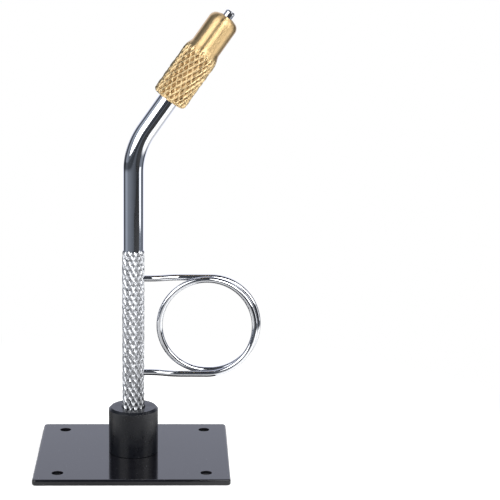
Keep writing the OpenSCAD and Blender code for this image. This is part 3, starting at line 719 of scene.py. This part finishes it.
stem_chrome = chrome("bright_chrome_on_steel_rod", ("#DCDEE2", "#E8EAEE"))

knurling = knurling_tree()
grip_len = GRIP_TOP - KNURL_FOOT
grip_mesh = grown("grip_knurling", knurling, {
    "Starts": GRIP_STARTS, "Cells": GRIP_CELLS, "Steps": STEPS, "Length": grip_len * MM,
    "Crest Radius": GRIP_R * MM, "Pit Depth": GRIP_PIT * MM, "Ridge Share": GRIP_RIDGE_SHARE,
    "First Drop": 0.0, "Second Drop": GRIP_DROP * MM, "Plain Radius": ROD_R * MM,
    "Runout": GRIP_RUNOUT * MM, "Bevel": (GRIP_R - ROD_R) * MM, "Cone Length": grip_len * MM,
    "Cone Drop": 0.0, "First Height": KNURL_FOOT * MM, "Unevenness": GRIP_UNEVEN * MM,
    "Uneven Scale": 1000 / UNEVEN_SIZE, "Material": stem_chrome,
})
bend_end = BEND_START + BEND_R * head_tilt
rod_end = bend_end + ARM_LEN + ROD_IN_SLEEVE
mouth_base = rod_end - (MOUTH_R - COLLET_BORE_R) / math.tan(math.radians(MOUTH_SLOPE))
columns = GRIP_STARTS * STEPS
bm = bmesh.new()
bm.from_mesh(grip_mesh)
lathe(bm, turned_profile([
    (0, STEM_FOOT, 0),
    (GRIP_R - FOOT_BEVEL, STEM_FOOT, STEM_SOFT),
    (GRIP_R, STEM_FOOT + FOOT_BEVEL, STEM_SOFT),
    (GRIP_R, KNURL_FOOT - FOOT_BEVEL, 0),
    (ROD_R, KNURL_FOOT, 0),
]), columns)
bend_rings = [(ROD_R, BEND_START + (bend_end - BEND_START) * k / BEND_RINGS)
              for k in range(BEND_RINGS + 1)]
lathe(bm, [(ROD_R, GRIP_TOP), (ROD_R, GRIP_TOP + PAST_GRIP)] + bend_rings + turned_profile([
    (ROD_R, bend_end + PAST_BEND, 0),
    (ROD_R, rod_end - MOUTH_END, STEM_SOFT),
    (ROD_R - MOUTH_END, rod_end, ROD_END_SOFT),
    (MOUTH_R, rod_end, 0),
    (COLLET_BORE_R, mouth_base, 0),
    (COLLET_BORE_R, bend_end + ARM_LEN + COLLET_BORE_END, 0),
    (0, bend_end + ARM_LEN + COLLET_BORE_END, 0),
]), columns)
bmesh.ops.remove_doubles(bm, verts=bm.verts, dist=SEAM_WITHIN * MM)
stem_mesh = finish_mesh(bm, "stem_chromed", sharp=KNURL_SHARP)
keep_turned_place(stem_mesh)
for vertex in stem_mesh.vertices:
    along = vertex.co.z / MM - BEND_START
    if along > 0:
        bent = min(along / BEND_R, head_tilt)
        past = max(along - BEND_R * head_tilt, 0)
        side = vertex.co.x / MM
        x = BEND_R * (1 - math.cos(bent)) + past * math.sin(bent) + side * math.cos(bent)
        z = BEND_START + BEND_R * math.sin(bent) + past * math.cos(bent) - side * math.sin(bent)
        vertex.co = Vector((x, vertex.co.y / MM, z)) * MM

stem = piece("stem_chromed", stem_mesh, stem_chrome)
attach(stem, "stem")
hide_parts("stem")

# Finger ring: one length of chromed wire, bent into one and a half turns round the finger.
# Both ends are pressed into holes in the grip.
WIRE_R, WIRE_SIDES, TURN_STEPS, ARM_STEPS = 1.25, 32, 48, 8
RING_X, RING_LEAD, RING_STEP = 29.5, 1.5, 1.5
BACK_R, MIDDLE_R, FRONT_R = 19.1, 19.0, 19.4
TOP_ARM, ARM_BEND_R, ARM_START, WIRE_END = 74.85, 20.0, 6.0, 1.5
arm_y = RING_STEP * 3 / 2
arm_turn = math.acos(1 - arm_y / (2 * ARM_BEND_R))
arm_bends = 2 * ARM_BEND_R * math.sin(arm_turn)


def arm(side, z, reach):
    """From the hole in the grip out to the ring, with two bends to one side."""
    points = [(WIRE_END, 0, z)]
    for k in range(ARM_STEPS + 1):
        a = arm_turn * k / ARM_STEPS
        points.append((ARM_START + ARM_BEND_R * math.sin(a),
                       side * ARM_BEND_R * (1 - math.cos(a)), z))
    for k in range(1, ARM_STEPS + 1):
        a = arm_turn * (1 - k / ARM_STEPS)
        points.append((ARM_START + arm_bends - ARM_BEND_R * math.sin(a),
                       side * (arm_y - ARM_BEND_R * (1 - math.cos(a))), z))
    return points + [(reach, side * arm_y, z)]


def half_turn(x, side, start, end):
    """Half a turn between two heights, to one side, that steps forward on its way."""
    turns = [math.pi * k / TURN_STEPS for k in range(1, TURN_STEPS + 1)]
    middle, reach = (start[1] + end[1]) / 2, (end[1] - start[1]) / 2
    return [(x + side * abs(reach) * math.sin(a),
             (start[0] + end[0]) / 2 - math.cos(a) * (end[0] - start[0]) / 2,
             middle - math.cos(a) * reach) for a in turns]


low_back = TOP_ARM - 2 * BACK_R
top_front = low_back + 2 * MIDDLE_R
low_front = top_front - 2 * FRONT_R
near_y = RING_STEP / 2
wire = arm(1, TOP_ARM, RING_X + RING_LEAD)
wire += half_turn(RING_X + RING_LEAD, 1, (arm_y, TOP_ARM), (near_y, low_back))
wire += [(RING_X, near_y, low_back)]
wire += half_turn(RING_X, -1, (near_y, low_back), (-near_y, top_front))
wire += half_turn(RING_X, 1, (-near_y, top_front), (-arm_y, low_front))
wire += reversed(arm(-1, low_front, RING_X - WIRE_R))


def wire_tree():
    """Round wire along a row of points."""
    tree = node_group("round_wire", "GeometryNodeTree", {"Geometry": "Geometry"}, {
        "Geometry": "Geometry", "Wire Radius": "Float", "Sides": "Int", "Material": "Material",
    })
    given = add(tree, "NodeGroupInput")
    route = add(tree, "GeometryNodeMeshToCurve", {"Mesh": given["Geometry"]})[0]
    round_end = add(tree, "GeometryNodeCurvePrimitiveCircle",
                    {"Resolution": given["Sides"], "Radius": given["Wire Radius"]})[0]
    tube = add(tree, "GeometryNodeCurveToMesh",
               {"Curve": route, "Profile Curve": round_end, "Fill Caps": True})[0]
    tube = add(tree, "GeometryNodeRealizeInstances", {"Geometry": tube})[0]
    tube = add(tree, "GeometryNodeSetMaterial",
               {"Geometry": tube, "Material": given["Material"]})[0]
    add(tree, "NodeGroupOutput", {"Geometry": tube})
    return tree


ring_chrome = chrome("bright_chrome_on_drawn_wire", ("#D0D2D6", "#DEE0E4"),
                     (MARK_STRETCH / 2,) * 3)
route_mesh = bpy.data.meshes.new("wire_route")
route_mesh.from_pydata([Vector(p) * MM for p in wire],
                       [(i, i + 1) for i in range(len(wire) - 1)], [])
ring_mesh = grown("finger_ring_wire", wire_tree(), {
    "Wire Radius": WIRE_R * MM, "Sides": WIRE_SIDES, "Material": ring_chrome,
}, route_mesh)
bm = bmesh.new()
bm.from_mesh(ring_mesh)
ring_mesh = finish_mesh(bm, "finger_ring_wire")
keep_turned_place(ring_mesh)
ring = piece("finger_ring_wire", ring_mesh, ring_chrome)
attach(ring, "stem")
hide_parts("finger_ring")

# Clamp sleeve: turned from brass bar. It is knurled first, then its rear edge is bevelled,
# and a cone, a smooth nose and a domed front are turned. The cone cuts through the knurling.
SLEEVE_R, SLEEVE_BEVEL, SLEEVE_RUNOUT = 7.3, 0.9, 0.01
SLEEVE_PIT, SLEEVE_DROP, SLEEVE_RIDGE_SHARE, SLEEVE_UNEVEN = 0.7, 0.15, 0.1, 0.2
NOSE_R, NOSE_START, NOSE_END, SLEEVE_LEN = 6.1, 24.7, 35.9, 39.3
CONE_LEN, DOME_CORNER, DOME_SLOPE, DOME_STEPS, NOSE_GUARD = 3.56, 3.0, 20, 10, 0.4
FRONT_HOLE_R, SLEEVE_BORE_R, SLEEVE_BORE_END, REAR_CHAMFER = 2.4, 4.08, 35.65, 0.5
HOLE_EDGE_R, HOLE_SINK, HOLE_SOFT = 0.35, 0.12, 0.15
SLEEVE_STARTS, SLEEVE_CELLS = 20, 6


def on_head(mesh):
    """Tilts a piece that was turned round Z on to the head, with 0 at the sleeve's rear."""
    keep_turned_place(mesh)
    tilt = Matrix.Rotation(head_tilt, 4, "Y")
    mesh.transform(Matrix.Translation(Vector(sleeve_joint["pos_m"])) @ tilt)


# Brass as turned: pale yellow. Fine tool marks run round it, so that lights are drawn out into
# stripes along its length. The pits of the knurling are painted brown as painted shade, and the
# knurling below its crests is painted paler as a painted highlight.
BRASS_RING, BRASS_PATCH = 0.22, 1.5
brass, tree, shader = material("turned_brass")
place = add(tree, "ShaderNodeAttribute", attribute_name="turned_place")["Vector"]
pit = add(tree, "ShaderNodeAttribute", attribute_name="pit")["Fac"]
rings = add(tree, "ShaderNodeMapping", {"Vector": place, "Scale": (0.06, 0.06, 1)})[0]
rings = add(tree, "ShaderNodeTexNoise", {"Vector": rings, "Scale": 1000 / BRASS_RING,
                                         "Detail": 3.0})["Fac"]
patch = add(tree, "ShaderNodeTexNoise", {"Vector": place, "Scale": 1000 / BRASS_PATCH,
                                         "Detail": 5.0})["Fac"]
# Painted shade: the knurling's pits are painted brown.
pit_shade = add(tree, "ShaderNodeMapRange", {0: pit, 1: 0.3, 2: 0.95, 3: 0, 4: 0.75})[0]
# Painted highlight: the knurling below its crests is painted paler.
painted_highlight = add(tree, "ShaderNodeMapRange", {0: pit, 1: 0.02, 2: 0.1, 3: 0, 4: 0.5})[0]
tone = add(tree, "ShaderNodeMix", {0: patch, 6: linear("#F5D199"), 7: linear("#FADAA2")},
           data_type="RGBA")[2]
tone = add(tree, "ShaderNodeMix", {0: painted_highlight, 6: tone, 7: linear("#FFEABC")},
           data_type="RGBA")[2]
tone = add(tree, "ShaderNodeMix", {0: pit_shade, 6: tone, 7: linear("#8E6534")},
           data_type="RGBA")[2]
rough = add(tree, "ShaderNodeMapRange", {0: patch, 1: 0.3, 2: 0.7, 3: 0.41, 4: 0.45})[0]
bump = add(tree, "ShaderNodeBump", {"Strength": 0.08, "Distance": 0.02 * MM, "Height": rings})
bump = add(tree, "ShaderNodeBump", {"Strength": 0.05, "Distance": 0.03 * MM, "Height": patch,
                                    "Normal": bump[0]})
marks = add(tree, "ShaderNodeVectorMath", {0: (0, 0, 1), 1: place}, operation="CROSS_PRODUCT")
marks = add(tree, "ShaderNodeVectorRotate", {"Vector": marks[0], "Angle": head_tilt},
            rotation_type="Y_AXIS")[0]
marks = add(tree, "ShaderNodeVectorTransform", {"Vector": marks}, vector_type="VECTOR",
            convert_from="OBJECT", convert_to="WORLD")[0]
feed(tree, shader, {"Base Color": tone, "Roughness": rough, "Normal": bump[0],
                    "Tangent": marks, "Anisotropic": 1, "Anisotropic Rotation": 0.25,
                    "Metallic": 1})

sleeve_mesh = grown("sleeve_knurling", knurling, {
    "Starts": SLEEVE_STARTS, "Cells": SLEEVE_CELLS, "Steps": STEPS, "Length": NOSE_START * MM,
    "Crest Radius": SLEEVE_R * MM, "Pit Depth": SLEEVE_PIT * MM,
    "Ridge Share": SLEEVE_RIDGE_SHARE, "First Drop": SLEEVE_DROP * MM, "Second Drop": 0.0,
    "Plain Radius": SLEEVE_R * MM, "Runout": SLEEVE_RUNOUT * MM, "Bevel": SLEEVE_BEVEL * MM,
    "Cone Length": CONE_LEN * MM, "Cone Drop": (SLEEVE_R - NOSE_R) * MM, "First Height": 0.0,
    "Unevenness": SLEEVE_UNEVEN * MM, "Uneven Scale": 1000 / UNEVEN_SIZE, "Material": brass,
})
slope = math.radians(DOME_SLOPE)
corner_turn = math.pi / 2 - slope
turns = [corner_turn * k / DOME_STEPS for k in range(DOME_STEPS + 1)]
dome = [(NOSE_R - DOME_CORNER * (1 - math.cos(a)), NOSE_END + DOME_CORNER * math.sin(a))
        for a in turns]
columns = SLEEVE_STARTS * STEPS
bm = bmesh.new()
bm.from_mesh(sleeve_mesh)
nose = [(NOSE_R, z) for z in (NOSE_START, NOSE_START + NOSE_GUARD, NOSE_END - NOSE_GUARD)]
lathe(bm, nose + dome + turned_profile([
    (FRONT_HOLE_R + HOLE_EDGE_R, SLEEVE_LEN - HOLE_SINK, 0),
    (FRONT_HOLE_R, SLEEVE_LEN, HOLE_SOFT),
    (FRONT_HOLE_R, SLEEVE_BORE_END, 0),
    (SLEEVE_BORE_R, SLEEVE_BORE_END, 0),
    (SLEEVE_BORE_R, REAR_CHAMFER, 0),
    (SLEEVE_BORE_R + REAR_CHAMFER, 0, 0),
    (SLEEVE_R - SLEEVE_BEVEL, 0, 0),
]), columns)
bmesh.ops.remove_doubles(bm, verts=bm.verts, dist=SEAM_WITHIN * MM)
sleeve_mesh = finish_mesh(bm, "clamp_sleeve_brass", sharp=KNURL_SHARP)
on_head(sleeve_mesh)
sleeve = piece("clamp_sleeve_brass", sleeve_mesh, brass)
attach(sleeve, "sleeve")
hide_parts("clamp_sleeve")

# Collet: spring steel turned with a closing cone, a head and a ridged tip, bored, and then
# sawn lengthwise into two jaws that stay joined at the root inside the stem.
SLOT, COLLET_BORE = 0.3, 0.8
LEG_START, CONE_START, CONE_TOP, SHOULDER = 17.225, 24.825, 30.05, 35.55
LEG_R, HEAD_R, TIP_R, TIP_END, TIP_BEVEL = 1.9, 3.3, 1.95, 41.9, 0.5
RIDGE_PITCH, RIDGE_DEPTH, RIDGES_START, RIDGE_MARGIN = 0.44, 0.06, 37.6, 0.3
JAW_SIDES = 48

# Spring steel as turned: pale and bright, with fine rings of the lathe tool round it.
STEEL_RING = 0.15
steel, tree, shader = material("turned_spring_steel")
place = add(tree, "ShaderNodeAttribute", attribute_name="turned_place")["Vector"]
rings = add(tree, "ShaderNodeMapping", {"Vector": place, "Scale": (0.08, 0.08, 1)})[0]
rings = add(tree, "ShaderNodeTexNoise", {"Vector": rings, "Scale": 1000 / STEEL_RING,
                                         "Detail": 3.0})["Fac"]
tone = add(tree, "ShaderNodeMix", {0: rings, 6: linear("#B9BCC2"), 7: linear("#E4E6EA")},
           data_type="RGBA")[2]
rough = add(tree, "ShaderNodeMapRange", {0: rings, 1: 0.3, 2: 0.7, 3: 0.1, 4: 0.2})[0]
bump = add(tree, "ShaderNodeBump", {"Strength": 0.2, "Distance": 0.01 * MM, "Height": rings})
feed(tree, shader, {"Base Color": tone, "Roughness": rough, "Normal": bump[0],
                    "Metallic": 1})
coat(frame["nodes"]["collet_root"].data, steel)

ridges_end = TIP_END - TIP_BEVEL - RIDGE_MARGIN
ridges = int((ridges_end - RIDGES_START) / RIDGE_PITCH)
jaw_profile = [(COLLET_BORE, LEG_START), (LEG_R, LEG_START), (LEG_R, CONE_START),
               (HEAD_R, CONE_TOP), (HEAD_R, SHOULDER), (TIP_R, SHOULDER)]
for k in range(ridges):
    z = ridges_end - (ridges - k) * RIDGE_PITCH
    jaw_profile += [(TIP_R, z), (TIP_R - RIDGE_DEPTH, z + RIDGE_PITCH / 2)]
jaw_profile += [(TIP_R, ridges_end), (TIP_R, TIP_END - TIP_BEVEL), (TIP_R - TIP_BEVEL, TIP_END),
                (SLOT / 2, TIP_END), (SLOT / 2, SHOULDER), (COLLET_BORE, SHOULDER)]
for side, name, node, body in ((-1, "front_jaw_steel", "jaw_front", "front_jaw"),
                               (1, "back_jaw_steel", "jaw_back", "back_jaw")):
    bm = bmesh.new()
    strips = []
    for r, z in jaw_profile:
        first = math.asin(SLOT / 2 / r)
        turns = [first + (math.pi - 2 * first) * k / JAW_SIDES for k in range(JAW_SIDES + 1)]
        strips.append([bm.verts.new(Vector((r * math.cos(a), side * r * math.sin(a), z)) * MM)
                       for a in turns])
    for lower, upper in zip(strips, strips[1:] + strips[:1]):
        for k in range(JAW_SIDES):
            bm.faces.new((lower[k], lower[k + 1], upper[k + 1], upper[k]))
    for k in (0, JAW_SIDES):
        bm.faces.new([strip[k] for strip in strips])
    bmesh.ops.remove_doubles(bm, verts=bm.verts, dist=MERGE_WITHIN * MM)
    jaw_mesh = finish_mesh(bm, name)
    on_head(jaw_mesh)
    jaw = piece(name, jaw_mesh, steel)
    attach(jaw, body)
    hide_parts(node)
